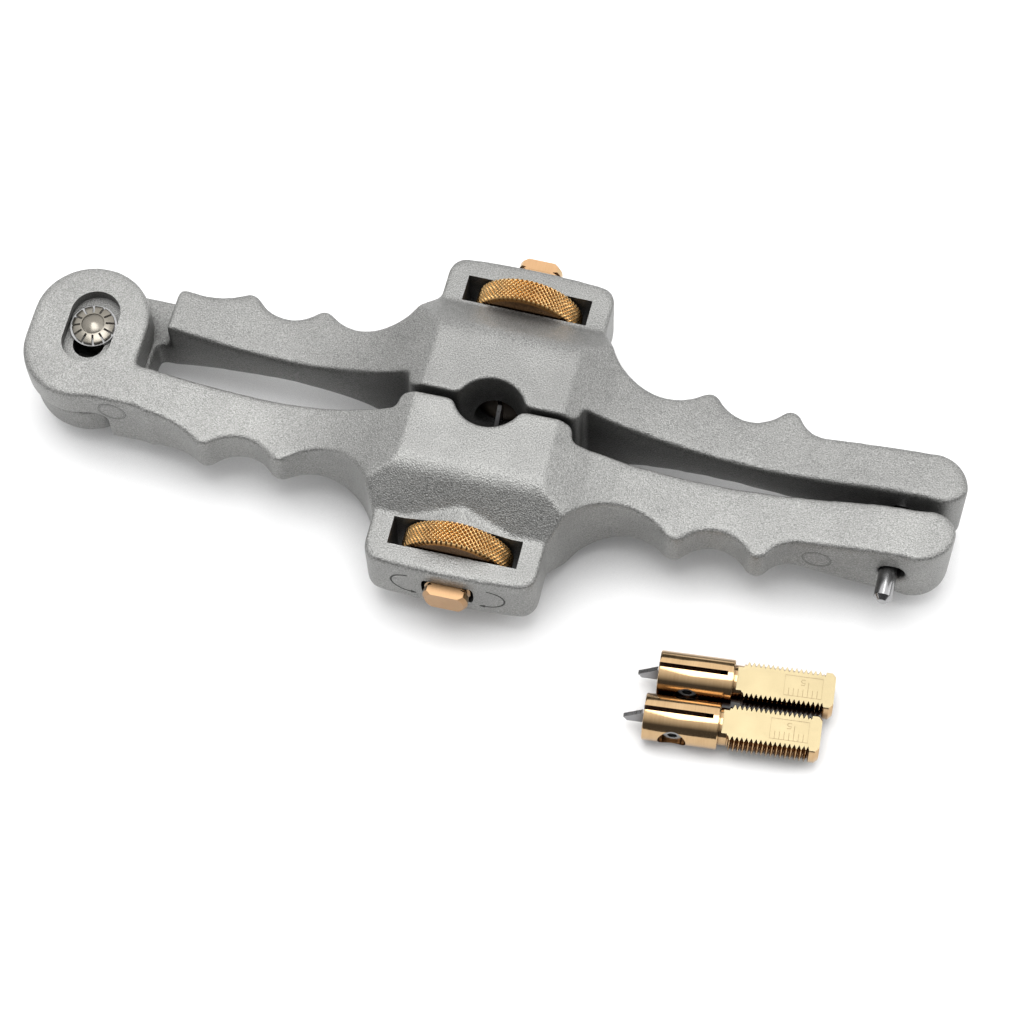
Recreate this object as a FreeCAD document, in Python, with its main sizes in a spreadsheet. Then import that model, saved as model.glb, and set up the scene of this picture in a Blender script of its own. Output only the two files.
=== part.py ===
import FreeCAD, Part
import Sketcher
import math
import os

# Mid-span cable slitter: two mirrored cast halves, each with a thumbwheel that
# drives a flat-sided, threaded blade carrier into the cable groove.
# Millimetres. X runs along the handles, Y from the front half to the rear half,
# Z up along the cable groove. The origin is on the front half's parting face.

doc = FreeCAD.newDocument("CableSlitter")
sheet = doc.addObject("Spreadsheet::Sheet", "Sizes")

SIZES = [
    ("block_half_height", 15.0, "cable groove block, centre plane to top"),
    ("block_half_width", 15.5, "top of the block, along X"),
    ("block_face_x", 18.2, "end of the parting face, along X"),
    ("block_foot_x", 24.0, "where the block's side slope meets the handle"),
    ("block_foot_height", 10.4, "handle half thickness at the slope's foot"),
    ("groove_radius", 7.8, "cable groove"),
    ("groove_depth", 5.1, "cable groove below the parting face"),
    ("groove_edge", 1.2, "rounding of the groove's mouth"),
    ("waist_left_x", 47.0, "thinnest place of the left handle"),
    ("waist_left_height", 4.7, "half thickness there"),
    ("waist_right_x", 56.0, "thinnest place of the right handle"),
    ("waist_right_height", 4.9, "half thickness there"),
    ("lug_half_height", 8.7, "pivot lug, centre plane to face"),
    ("lug_gap", 0.15, "half the gap between the two lug plates"),
    ("lug_radius", 13.0, "round ends of the lug plates"),
    ("lug_length", 33.0, "lug plate across the handles"),
    ("front_lug_y", 2.0, "front lug plate's centre behind its parting face"),
    ("rear_lug_y", -0.6, "rear lug plate's centre behind its parting face"),
    ("lug_play", 0.4, "hollow in the front handle to the rear lug, all round"),
    ("pivot_closing", 0.9, "pivot's travel towards the front half"),
    ("pivot_opening", 2.4, "pivot's travel away from the front half"),
    ("pivot_x", 90.9, "pivot from the groove, along X"),
    ("pivot_y", 1.0, "pivot behind the rear parting face"),
    ("shoulder_x", 75.0, "where the full handle starts beside the lug"),
    ("shoulder_radius", 1.8, "outer corner there"),
    ("pad_half_height", 9.3, "right end, centre plane to face"),
    ("pad_start_x", 80.0, "where the right handle has widened to its end"),
    ("end_x", 102.2, "right end from the groove"),
    ("end_radius", 7.0, "outer corner of the right end, across the handle"),
    ("end_run", 9.5, "the same corner along the handle"),
    ("end_inner_radius", 3.4, "inner corner of the right end, across the handle"),
    ("end_inner_run", 7.5, "the same corner along the handle"),
    ("handle_recess", 3.6, "handle's inner face behind the parting face"),
    ("pad_recess", 2.2, "rear half's right end behind the parting face"),
    ("front_pad_recess", 1.3, "front half's right end, the same"),
    ("swell_x", 60.0, "middle of the right handle, along X"),
    ("swell_recess", 2.4, "inner face there behind the parting face"),
    ("handle_width", 14.4, "bottom of a finger scallop from the parting face"),
    ("ridge_width", 18.2, "top of a finger ridge from the parting face"),
    ("ridge_crown", 1.8, "half the rounded top of a ridge"),
    ("ridge_left_inner", 42.8, "ridge centre"),
    ("ridge_left_outer", 59.6, "ridge centre"),
    ("ridge_right_inner", 44.4, "ridge centre"),
    ("ridge_right_outer", 62.2, "ridge centre"),
    ("pad_width", 13.2, "right end's outer face from the parting face"),
    ("housing_half_height", 7.5, "thumbwheel housing, centre plane to face"),
    ("housing_half_width", 18.7, "thumbwheel housing along X"),
    ("housing_face", 37.4, "housing's outer face from the parting face"),
    ("housing_bow", 0.6, "outward bow of that face"),
    ("housing_corner", 3.8, "housing's outer corners"),
    ("slope_top", 17.0, "top edge of the slope from block to housing"),
    ("slope_round", 3.0, "rounding of that edge"),
    ("gable_rise", 2.65, "gable at the window's inner edge, over the housing"),
    ("gable_half_width", 11.5, "the same, along X"),
    ("window_width", 28.0, "thumbwheel window along X"),
    ("window_inner", 26.5, "window's inner edge from the parting face"),
    ("wheel_thickness", 5.9, "thumbwheel"),
    ("wheel_side_gap", 0.25, "thumbwheel to window, each side"),
    ("wheel_radius", 12.0, "thumbwheel over the knurl"),
    ("wheel_chamfer", 0.5, "thumbwheel rim"),
    ("carrier_radius", 5.0, "carrier head and thread"),
    ("carrier_fit", 0.05, "radial running fit of the carrier"),
    ("carrier_length", 37.2, "carrier end to end, without blade"),
    ("head_length", 16.0, "plain round head"),
    ("neck_length", 1.9, "groove behind the head"),
    ("neck_depth", 1.0, "depth of that groove"),
    ("thread_pitch", 1.0, "thread and scale pitch"),
    ("thread_depth", 0.75, "thread"),
    ("thread_sides", 10, "flat facets of a thread ring"),
    ("shank_chamfer", 0.8, "shank end"),
    ("shank_end", 1.4, "plain end behind the thread"),
    ("flat_half_height", 3.0, "half the distance across the shank's flats"),
    ("slit_width", 1.0, "blade slit in the head"),
    ("slit_length", 14.6, "the same"),
    ("screw_radius", 2.0, "blade clamping screw"),
    ("screw_from_front", 6.5, "screw behind the head's front"),
    ("screw_recess_radius", 3.0, "counterbore of the screw"),
    ("screw_recess_depth", 1.5, "the same"),
    ("blade_thickness", 0.9, "blade"),
    ("blade_reach", 4.3, "blade in front of the head"),
    ("blade_height", 5.0, "blade"),
    ("blade_drop", 3.4, "fall of the blade's upper edge to its tip"),
    ("blade_rake", 0.8, "lower corner of the tip behind the upper one"),
    ("rear_setback", 0.6, "rear carrier's front behind the bottom of the groove"),
    ("front_setback", -1.7, "front carrier's front, the same"),
    ("pivot_pin_radius", 2.5, "pivot pin"),
    ("pivot_slot_y", 3.2, "middle of both slots behind the front parting face"),
    ("pivot_slot_width", 7.0, "slot for the pivot pin"),
    ("pivot_slot_length", 13.0, "the same, across the handles"),
    ("washer_recess_width", 11.0, "recess for the washers"),
    ("washer_recess_length", 17.8, "the same, across the handles"),
    ("washer_recess_depth", 2.6, "the same"),
    ("washer_thickness", 0.8, "plain washer that slides in the recess"),
    ("washer_side_gap", 0.35, "plain washer to the recess's sides"),
    ("star_radius", 4.7, "star lock washer"),
    ("star_thickness", 0.6, "the same"),
    ("guide_pin_radius", 2.0, "guide pin"),
    ("guide_pin_inset", 12.7, "guide pin from the right end"),
    ("guide_pin_reach", 6.7, "guide pin outside the front half"),
    ("guide_pin_seat", 8.0, "guide pin inside the rear half"),
    ("guide_hole_radius", 2.75, "clearance hole in the front half"),
    ("guide_hole_offset", 0.6, "hole's centre from the pin's, along X"),
    ("rest_gap", 1.4, "parting gap at the groove, as stored"),
    ("rest_shift", 0.7, "rear half along X, as stored"),
    ("rest_angle", 1.2, "rear half turned about the groove, degrees"),
    ("spare_x", 46.8, "head of the first spare carrier"),
    ("spare_y", -42.0, "the same"),
    ("spare_angle", 4.4, "spare carriers' turn from the X axis, degrees"),
    ("spare_pitch", 10.15, "distance between the spare carriers"),
    ("spare_offset", 1.8, "second spare carrier's shift along its axis"),
]
for row, (alias, value, note) in enumerate(SIZES, start=1):
    sheet.set("A%d" % row, note)
    sheet.set("B%d" % row, str(value))
    sheet.setAlias("B%d" % row, alias)
doc.recompute()


def size(alias):
    return float(sheet.get(alias))


V = FreeCAD.Vector
REAR = 1
FRONT = -1

BLOCK_Z = size("block_half_height")
HOUSING_Z = size("housing_half_height")
LUG_Z = size("lug_half_height")
LUG_GAP = size("lug_gap")
FACE = size("housing_face")
WINDOW_IN = size("window_inner")
WINDOW_OUT = WINDOW_IN + size("wheel_thickness") + 2 * size("wheel_side_gap")
CARRIER_R = size("carrier_radius")
PIVOT_X = -size("pivot_x")
PIVOT_Y = size("pivot_y")
GUIDE_X = size("end_x") - size("guide_pin_inset")
GAP = size("rest_gap")
TURN = math.radians(size("rest_angle"))

HALF_PLACEMENT = {
    FRONT: FreeCAD.Placement(),
    REAR: FreeCAD.Placement(V(size("rest_shift"), GAP, 0),
                            FreeCAD.Rotation(V(0, 0, 1), -size("rest_angle"))),
}
PIVOT_AT = HALF_PLACEMENT[REAR].multVec(V(PIVOT_X, PIVOT_Y, 0))
GUIDE_AT = HALF_PLACEMENT[REAR].multVec(V(GUIDE_X, -GAP - 0.5 * size("pad_width"), 0))


# small drawing helpers

def new_body(label):
    body = doc.addObject("PartDesign::Body", label)
    body.Label = label
    return body


def new_sketch(body, name, role, offset=0.0):
    sketch = body.newObject("Sketcher::SketchObject", name)
    plane = [f for f in body.Origin.OriginFeatures if f.Role == role][0]
    sketch.AttachmentSupport = [(plane, "")]
    sketch.MapMode = "FlatFace"
    sketch.AttachmentOffset = FreeCAD.Placement(V(0, 0, offset), FreeCAD.Rotation())
    return sketch


def path(start, *steps):
    """Lines and three-point arcs from a start point: (end,) or (middle, end)."""
    shapes = []
    at = V(start[0], start[1], 0)
    for step in steps:
        end = V(step[-1][0], step[-1][1], 0)
        if len(step) == 1:
            shapes.append(Part.LineSegment(at, end))
        else:
            middle = V(step[0][0], step[0][1], 0)
            shapes.append(Part.Arc(at, middle, end))
        at = end
    return shapes


def box_path(x0, y0, x1, y1):
    return path((x0, y0), ((x1, y0),), ((x1, y1),), ((x0, y1),), ((x0, y0),))


def round_slot(cx, cy, half_x, half_y):
    """Slot with half-round ends, along its longer direction."""
    if half_y >= half_x:
        r, d = half_x, half_y - half_x
        return path((cx + r, cy - d), ((cx + r, cy + d),), ((cx, cy + d + r), (cx - r, cy + d)),
                    ((cx - r, cy - d),), ((cx, cy - d - r), (cx + r, cy - d)))
    r, d = half_y, half_x - half_y
    return path((cx - d, cy - r), ((cx + d, cy - r),), ((cx + d + r, cy), (cx + d, cy + r)),
                ((cx - d, cy + r),), ((cx - d - r, cy), (cx - d, cy - r)))


def circle(cx, cy, r):
    return [Part.Circle(V(cx, cy, 0), V(0, 0, 1), r)]


def add(body, kind, name, sketch, length, midplane=False, reverse=False):
    feature = body.newObject("PartDesign::" + kind, name)
    feature.Profile = sketch
    feature.Length = length
    feature.Midplane = midplane
    feature.Reversed = reverse
    sketch.Visibility = False
    doc.recompute()
    return feature


def cut_both_ways(body, name, role, shapes, length, offset=0.0):
    sketch = new_sketch(body, name + "Sketch", role, offset)
    sketch.addGeometry(shapes, False)
    return add(body, "Pocket", name, sketch, length, midplane=True)


# the two halves

def side_outline():
    """Upper edge of a half seen from its side, left to right, then mirrored."""
    top = size("block_half_width")
    foot_x, foot_z = size("block_foot_x"), size("block_foot_height")
    wl, wlz = size("waist_left_x"), size("waist_left_height")
    wr, wrz = size("waist_right_x"), size("waist_right_height")
    sh, pad_x, pad_z = size("shoulder_x"), size("pad_start_x"), size("pad_half_height")
    end, rise = size("end_x"), pad_z - wrz

    def half(sign):
        def p(x, z):
            return (x, sign * z)
        left = [
            (p(-sh, LUG_Z),),
            (p(-wl - 0.45 * (sh - wl), wlz + 0.24 * (LUG_Z - wlz)), p(-wl, wlz)),
            (p(-wl + 0.55 * (wl - foot_x), wlz + 0.32 * (foot_z - wlz)), p(-foot_x, foot_z)),
            (p(-top, BLOCK_Z),),
            (p(top, BLOCK_Z),),
            (p(foot_x, foot_z),),
            (p(wr - 0.62 * (wr - foot_x), wrz + 0.34 * (foot_z - wrz)), p(wr, wrz)),
            (p(wr + 0.55 * (pad_x - wr), wrz + 0.20 * rise), p(pad_x, wrz + 0.62 * rise)),
            (p(pad_x + 0.45 * (end - pad_x), wrz + 0.90 * rise), p(end, pad_z)),
        ]
        return left
    upper = half(1)
    lower = half(-1)
    points = [(-sh, 0)]
    shapes = path(points[0], *upper)
    shapes += path(points[0], *lower)
    shapes.append(Part.LineSegment(V(end, -pad_z, 0), V(end, pad_z, 0)))
    return shapes


def plan_outline(s):
    """A half seen from above, from its shoulder round the scallops and back."""
    sh, end, er = size("shoulder_x"), size("end_x"), size("end_radius")
    rec = size("handle_recess")
    prec = size("pad_recess") if s == REAR else size("front_pad_recess")
    swell, srec = size("swell_x"), size("swell_recess")
    low, high, crown = size("handle_width"), size("ridge_width"), size("ridge_crown")
    side, corner, bow = size("housing_half_width"), size("housing_corner"), size("housing_bow")
    lo, li = -size("ridge_left_outer"), -size("ridge_left_inner")
    ri, ro = size("ridge_right_inner"), size("ridge_right_outer")
    padw, padx = size("pad_width"), size("pad_start_x")
    gr, gd, ge = size("groove_radius"), size("groove_depth"), size("groove_edge")
    eir, run, er_run = size("end_inner_radius"), size("end_inner_run"), size("end_run")
    brow = high - 0.42 * crown
    face_x = size("block_face_x")
    sr = size("shoulder_radius")

    def p(x, v):
        return (x, s * v)

    def ridge(x, v):
        return (p(x, v), p(x + crown, brow))

    # the groove is part of a circle whose centre lies beyond the parting face
    centre = gd - gr
    mouth = math.sqrt(gr ** 2 - centre ** 2)
    lip = mouth + ge
    lip_in = (mouth - 0.55 * ge, centre + math.sqrt(gr ** 2 - (mouth - 0.55 * ge) ** 2))

    return path(
        p(-sh, rec),
        (p(-sh, low - sr),),
        (p(-sh + 0.29 * sr, low - 0.29 * sr), p(-sh + sr, low)),
        (p(0.5 * (lo - crown - sh + sr) - 0.6, low + 0.3), p(lo - crown, brow)),
        ridge(lo, high),
        (p(0.5 * (lo + li), low), p(li - crown, brow)),
        ridge(li, high),
        (p(0.72 * li, low + 0.2), p(-side - 2.9, low + 7.2)),
        (p(-side, low + 12.4),),
        (p(-side, FACE - corner),),
        (p(-side + 0.29 * corner, FACE - 0.29 * corner), p(-side + corner, FACE)),
        (p(0, FACE + bow), p(side - corner, FACE)),
        (p(side - 0.29 * corner, FACE - 0.29 * corner), p(side, FACE - corner)),
        (p(side, low + 12.0),),
        (p(side + 2.9, low + 6.4),),
        (p(0.78 * ri, low - 0.5), p(ri - crown, brow)),
        ridge(ri, high),
        (p(0.5 * (ri + ro), low - 0.6), p(ro - crown, brow)),
        ridge(ro, high),
        (p(ro + crown + 3.4, padw + 0.7), p(ro + crown + 8.0, padw)),
        (p(end - er_run, padw),),
        (p(end - 0.27 * er_run, padw - 0.27 * er), p(end, padw - er)),
        (p(end, prec + eir),),
        (p(end - 0.22 * run, prec + 0.3 * eir), p(end - run, prec)),
        (p(padx + 6.0, prec),),
        (p(swell, srec),),
        (p(face_x + 2.2, rec),),
        (p(face_x + 1.2, rec - 0.4), p(face_x + 0.8, rec - 1.4)),
        (p(face_x + 0.1, 0.5), p(face_x - 1.4, 0)),
        (p(lip, 0),),
        (p(mouth + 0.25 * ge, 0.2 * ge), p(*lip_in)),
        (p(0, gd), p(-lip_in[0], lip_in[1])),
        (p(-mouth - 0.25 * ge, 0.2 * ge), p(-lip, 0)),
        (p(-face_x + 1.4, 0),),
        (p(-face_x - 0.1, 0.5), p(-face_x - 0.8, rec - 1.4)),
        (p(-face_x - 1.2, rec - 0.4), p(-face_x - 2.2, rec)),
        (p(-sh, rec),),
    )


def lug_outline(s, centre_y):
    half = 0.5 * size("lug_length")
    return round_slot(PIVOT_X, centre_y, size("lug_radius"), half)


def build_half(label, s):
    body = new_body(label)

    plan = new_sketch(body, label + "PlanSketch", "XY_Plane")
    plan.addGeometry(plan_outline(s), False)
    add(body, "Pad", label + "Plan", plan, 2 * BLOCK_Z, midplane=True)

    # everything outside the side outline is cut away
    far = size("end_x") + 20
    around = box_path(-far, -2 * BLOCK_Z, far, 2 * BLOCK_Z)
    cut_both_ways(body, label + "Side", "XZ_Plane", around + side_outline(), 4 * (FACE + BLOCK_Z))

    # slope from the block down to the housing, above and below
    st, sr, foot = size("slope_top"), size("slope_round"), WINDOW_IN - 0.6
    away = FACE + 20
    for name, k in (("Upper", 1), ("Lower", -1)):
        slope = path(
            (s * (st - sr), k * BLOCK_Z),
            ((s * (st - 0.2 * sr), k * (BLOCK_Z - 0.14 * sr)),
             (s * (st + 0.55 * sr), k * (BLOCK_Z - 0.55 * sr))),
            ((s * foot, k * HOUSING_Z),),
            ((s * away, k * HOUSING_Z),),
            ((s * away, k * (BLOCK_Z + 5)),),
            ((s * (st - sr), k * (BLOCK_Z + 5)),),
            ((s * (st - sr), k * BLOCK_Z),),
        )
        cut_both_ways(body, label + name + "Slope", "YZ_Plane", slope, 4 * far)

    # low gable over the window's inner edge, buried in the slope
    rw, rise = size("gable_half_width"), size("gable_rise")
    run = 5.0
    for name, k in (("Upper", 1), ("Lower", -1)):
        gable = new_sketch(body, label + name + "GableSketch", "XZ_Plane", -s * (WINDOW_IN - 0.5 * run))
        foot, eaves = k * (HOUSING_Z - 1), k * HOUSING_Z
        gable.addGeometry(path((-rw, foot), ((-rw, eaves),), ((0, k * (HOUSING_Z + rise)),),
                               ((rw, eaves),), ((rw, foot),), ((-rw, foot),)), False)
        add(body, "Pad", label + name + "Gable", gable, run, midplane=True)

    # window, carrier bore, slot for the flat shank
    half_window = 0.5 * size("window_width")
    window = box_path(-half_window, s * WINDOW_IN, half_window, s * WINDOW_OUT)
    cut_both_ways(body, label + "Window", "XY_Plane", window, 4 * BLOCK_Z)
    bore_r = CARRIER_R + size("carrier_fit")
    cut_both_ways(body, label + "Bore", "XZ_Plane", circle(0, 0, bore_r), 2 * (WINDOW_IN + 1))
    flat = size("flat_half_height") + size("carrier_fit")
    shank = path((-CARRIER_R - 0.1, -flat), ((CARRIER_R + 0.1, -flat),),
                 ((CARRIER_R + 0.7, 0), (CARRIER_R + 0.1, flat)), ((-CARRIER_R - 0.1, flat),),
                 ((-CARRIER_R - 0.7, 0), (-CARRIER_R - 0.1, -flat)))
    depth = FACE + 3 - WINDOW_OUT
    cut_both_ways(body, label + "ShankSlot", "XZ_Plane", shank, 2 * depth, -s * (FACE + 3))

    # lug plate and the stepped tongue that joins it to the handle
    plate = LUG_Z - LUG_GAP
    level = LUG_GAP if s == FRONT else -LUG_Z
    lug_y = size("rear_lug_y") if s == REAR else size("front_lug_y")
    lug = new_sketch(body, label + "LugSketch", "XY_Plane", level)
    lug.addGeometry(lug_outline(s, lug_y), False)
    add(body, "Pad", label + "Lug", lug, plate)
    tongue = new_sketch(body, label + "TongueSketch", "XY_Plane", level)
    rec = size("handle_recess")
    wide = size("handle_width") + (0.6 if s == REAR else -0.6)
    tongue.addGeometry(box_path(PIVOT_X, s * rec, -size("shoulder_x") + 1.0, s * wide), False)
    add(body, "Pad", label + "Tongue", tongue, plate)

    if s == FRONT:
        # below its plate the front handle is hollowed round the rear lug
        web = new_sketch(body, label + "WebSketch", "XY_Plane", -LUG_Z)
        web.addGeometry(box_path(PIVOT_X + 6, -rec, -size("shoulder_x") + 1.0, -wide), False)
        add(body, "Pad", label + "Web", web, LUG_Z)
        hollow = 2 * LUG_Z
        reach = 0.5 * size("lug_length") - size("rear_lug_y") + PIVOT_Y + size("lug_play")
        closing, opening = size("pivot_closing"), size("pivot_opening")
        cut_both_ways(body, label + "LugHollow", "XY_Plane",
                      round_slot(PIVOT_AT.x, PIVOT_AT.y + 0.5 * (opening - closing), reach,
                                 reach + 0.5 * (opening + closing)), hollow, LUG_GAP - 0.5 * hollow)
        slot_y = size("pivot_slot_y")
        recess = size("washer_recess_depth")
        cut_both_ways(body, label + "PivotSlot", "XY_Plane",
                      round_slot(PIVOT_AT.x, slot_y, 0.5 * size("pivot_slot_width"),
                                 0.5 * size("pivot_slot_length")),
                      4 * LUG_Z)
        cut_both_ways(body, label + "WasherRecess", "XY_Plane",
                      round_slot(PIVOT_AT.x, slot_y, 0.5 * size("washer_recess_width"),
                                 0.5 * size("washer_recess_length")),
                      2 * recess, LUG_Z)
        cut_both_ways(body, label + "GuideHole", "XZ_Plane",
                      circle(GUIDE_AT.x + size("guide_hole_offset"), 0, size("guide_hole_radius")), 80)
    else:
        cut_both_ways(body, label + "PivotHole", "XY_Plane",
                      circle(PIVOT_X, PIVOT_Y, size("pivot_pin_radius")), 4 * LUG_Z)
        cut_both_ways(body, label + "GuideSeat", "XZ_Plane",
                      circle(GUIDE_X, 0, size("guide_pin_radius")),
                      2 * (size("pad_recess") + size("guide_pin_seat")))
    body.Placement = HALF_PLACEMENT[s]
    return body


# blade carrier, blade and screw
# Drawn along +Y with the head's front at the origin, then placed.

def head_profile():
    r, neck_r = CARRIER_R, CARRIER_R - size("neck_depth")
    head, neck = size("head_length"), size("neck_length")
    return path((0, 0), ((r - 0.4, 0),), ((r, 0.4),), ((r, head),), ((neck_r, head),),
                ((neck_r, head + neck + 0.3),), ((0, head + neck + 0.3),), ((0, 0),))


def thread_solid():
    """Thread rings as flat facets from root to crest, one pitch apart, with a blunt end."""
    crest, root = CARRIER_R, CARRIER_R - size("thread_depth")
    length, pitch = size("carrier_length"), size("thread_pitch")
    start = size("head_length") + size("neck_length")
    sides = int(size("thread_sides"))
    turns = int((length - size("shank_end") - start) / pitch)
    stations = []
    for i in range(turns):
        stations.append((root, start + i * pitch))
        stations.append((crest, start + (i + 0.5) * pitch))
    plain = start + turns * pitch
    chamfer = size("shank_chamfer")
    stations += [(root, plain), (crest, plain + 0.3), (crest, length - chamfer), (crest - chamfer, length)]
    rings = []
    for radius, y in stations:
        rings.append([V(radius * math.cos(2 * math.pi * (i + 0.5) / sides), y,
                        radius * math.sin(2 * math.pi * (i + 0.5) / sides)) for i in range(sides)])

    def facet(*corners):
        return Part.Face(Part.makePolygon(list(corners) + [corners[0]]))
    faces = [facet(*rings[0]), facet(*rings[-1])]
    for near, far in zip(rings, rings[1:]):
        for i in range(sides):
            faces.append(facet(near[i - 1], near[i], far[i], far[i - 1]))
    return Part.makeSolid(Part.makeShell(faces))


def blade_profile():
    """In the YZ plane: the plate inside the slit and the reaching edge."""
    h = 0.5 * size("blade_height")
    reach, drop, rake = size("blade_reach"), size("blade_drop"), size("blade_rake")
    inside = size("slit_length") - 1.5
    return path((inside, -h), ((inside, h),), ((-0.2, h),), ((-reach, h - drop),), ((rake - reach, -h),),
                ((inside, -h),))


def build_carrier(prefix, placement):
    body = new_body(prefix + "_head")
    profile = new_sketch(body, prefix + "HeadSketch", "XY_Plane")
    profile.addGeometry(head_profile(), False)
    turn = body.newObject("PartDesign::Revolution", prefix + "HeadTurned")
    turn.Profile = profile
    turn.ReferenceAxis = (profile, ["V_Axis"])
    turn.Angle = 360
    profile.Visibility = False
    doc.recompute()

    slit = size("slit_length")
    cut_both_ways(body, prefix + "Slit", "YZ_Plane",
                  box_path(-1, -2 * CARRIER_R, slit, 2 * CARRIER_R), size("slit_width"))
    at = size("screw_from_front")
    side = new_sketch(body, prefix + "ScrewHoleSketch", "YZ_Plane", 0.5 * (CARRIER_R + 1))
    side.addGeometry(circle(at, 0, size("screw_radius")), False)
    add(body, "Pocket", prefix + "ScrewHole", side, CARRIER_R + 1, midplane=True)
    cut_both_ways(body, prefix + "ScrewRecess", "YZ_Plane",
                  circle(at, 0, size("screw_recess_radius")), 2 * size("screw_recess_depth"), CARRIER_R)

    shank = doc.addObject("Part::Feature", prefix + "_shank")
    shank.Shape = thread_solid()
    whole = doc.addObject("Part::Fuse", prefix + "_whole")
    whole.Base = body
    whole.Tool = shank

    # two flats along the shank keep the carrier from turning in its slot
    flats = []
    for name, k in (("Upper", 1), ("Lower", -1)):
        flat = doc.addObject("Part::Box", prefix + name + "Flat")
        flat.setExpression("Length", "4 * Sizes.carrier_radius")
        flat.setExpression("Width", "Sizes.carrier_length")
        flat.setExpression("Height", "Sizes.carrier_radius")
        flat.setExpression("Placement.Base.x", "-2 * Sizes.carrier_radius")
        flat.setExpression("Placement.Base.y", "Sizes.head_length + 0.6")
        if k > 0:
            flat.setExpression("Placement.Base.z", "Sizes.flat_half_height")
        else:
            flat.setExpression("Placement.Base.z", "-Sizes.flat_half_height - Sizes.carrier_radius")
        flats.append(flat)
    both = doc.addObject("Part::Fuse", prefix + "_flats")
    both.Base, both.Tool = flats
    carrier = doc.addObject("Part::Cut", prefix + "_blade_carrier")
    carrier.Base = whole
    carrier.Tool = both
    carrier.Label = prefix + "_blade_carrier"
    carrier.Placement = placement
    doc.recompute()

    blade = new_body(prefix + "_blade")
    plate = new_sketch(blade, prefix + "BladeSketch", "YZ_Plane")
    plate.addGeometry(blade_profile(), False)
    add(blade, "Pad", prefix + "BladePlate", plate, size("blade_thickness"), midplane=True)
    blade.Placement = placement

    screw = new_body(prefix + "_set_screw")
    length = CARRIER_R - size("screw_recess_depth") - 0.5 * size("blade_thickness")
    shank = new_sketch(screw, prefix + "ScrewSketch", "YZ_Plane", 0.5 * size("blade_thickness"))
    shank.addGeometry(circle(at, 0, size("screw_radius")), False)
    add(screw, "Pad", prefix + "ScrewBody", shank, length)
    socket = [V(at + 1.15 * math.cos(math.radians(60 * i)), 1.15 * math.sin(math.radians(60 * i)), 0)
              for i in range(7)]
    hexagon = [Part.LineSegment(socket[i], socket[i + 1]) for i in range(6)]
    cut_both_ways(screw, prefix + "ScrewSocket", "YZ_Plane", hexagon, 2.4,
                  0.5 * size("blade_thickness") + length)
    screw.Placement = placement
    return [carrier, blade, screw]


def build_wheel(label, s):
    body = new_body(label)
    r, c = size("wheel_radius"), size("wheel_chamfer")
    inner = CARRIER_R + size("carrier_fit")
    y0 = WINDOW_IN + size("wheel_side_gap")
    y1 = y0 + size("wheel_thickness")
    profile = new_sketch(body, label + "Sketch", "XY_Plane")
    profile.addGeometry(path(
        (inner, s * y0), ((r - c, s * y0),), ((r, s * (y0 + c)),), ((r, s * (y1 - c)),),
        ((r - c, s * y1),), ((inner, s * y1),), ((inner, s * y0),)), False)
    turn = body.newObject("PartDesign::Revolution", label + "Turned")
    turn.Profile = profile
    turn.ReferenceAxis = (profile, ["V_Axis"])
    turn.Angle = 360
    profile.Visibility = False
    doc.recompute()
    body.Placement = HALF_PLACEMENT[s]
    return body


# pins and washers

def turned(label, shapes, placement):
    """Solid of revolution about Z from a profile in the XZ plane."""
    body = new_body(label)
    profile = new_sketch(body, label + "Sketch", "XZ_Plane")
    profile.addGeometry(shapes, False)
    turn = body.newObject("PartDesign::Revolution", label + "Turned")
    turn.Profile = profile
    turn.ReferenceAxis = (profile, ["V_Axis"])
    turn.Angle = 360
    profile.Visibility = False
    doc.recompute()
    body.Placement = placement
    return body


def build_pivot():
    at = FreeCAD.Placement(PIVOT_AT, HALF_PLACEMENT[REAR].Rotation)
    r = size("pivot_pin_radius")
    floor = LUG_Z - size("washer_recess_depth")
    wt, st = size("washer_thickness"), size("star_thickness")
    top = LUG_Z + 1.2
    pin = turned("pivot_pin", path((0, -LUG_Z), ((r, -LUG_Z),), ((r, top - 0.9),), ((0.4, top),),
                                   ((0, top),), ((0, -LUG_Z),)), at)
    sides = 0.5 * size("washer_recess_width") - size("washer_side_gap")
    fit = size("carrier_fit")
    low = floor + fit
    plain = turned("slot_washer", path((r + fit, low), ((sides, low),), ((sides, low + wt),),
                                       ((r + fit, low + wt),), ((r + fit, low),)), at)
    base = low + wt + fit
    star = new_body("star_washer")
    outline = new_sketch(star, "StarSketch", "XY_Plane", base)
    outer, teeth = size("star_radius"), 12
    ring = []
    for i in range(2 * teeth):
        radius = outer if i % 2 else outer - 0.7
        angle = math.pi * i / teeth
        ring.append(V(radius * math.cos(angle), radius * math.sin(angle), 0))
    outline.addGeometry([Part.LineSegment(ring[i - 1], ring[i]) for i in range(2 * teeth)], False)
    outline.addGeometry(circle(0, 0, r), False)
    add(star, "Pad", "StarPlate", outline, st)
    star.Placement = at
    return [pin, plain, star]


def build_guide_pin():
    r = size("guide_pin_radius")
    start = size("pad_recess") + size("guide_pin_seat")
    far = GUIDE_X * math.sin(TURN) - GAP - size("pad_width") - size("guide_pin_reach")
    at = FreeCAD.Placement(V(GUIDE_X, start, 0), FreeCAD.Rotation(V(1, 0, 0), 90))
    length = start - far
    body = turned("guide_pin", path((0, 0), ((r, 0),), ((r, length - 1.0),), ((r - 1.0, length),),
                                    ((0, length),), ((0, 0),)),
                  HALF_PLACEMENT[REAR].multiply(at))
    return [body]


pieces = [build_half("rear_body", REAR), build_half("front_body", FRONT)]
pieces += build_pivot()
pieces += build_guide_pin()
pieces.append(build_wheel("rear_thumbwheel", REAR))
pieces.append(build_wheel("front_thumbwheel", FRONT))

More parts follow.
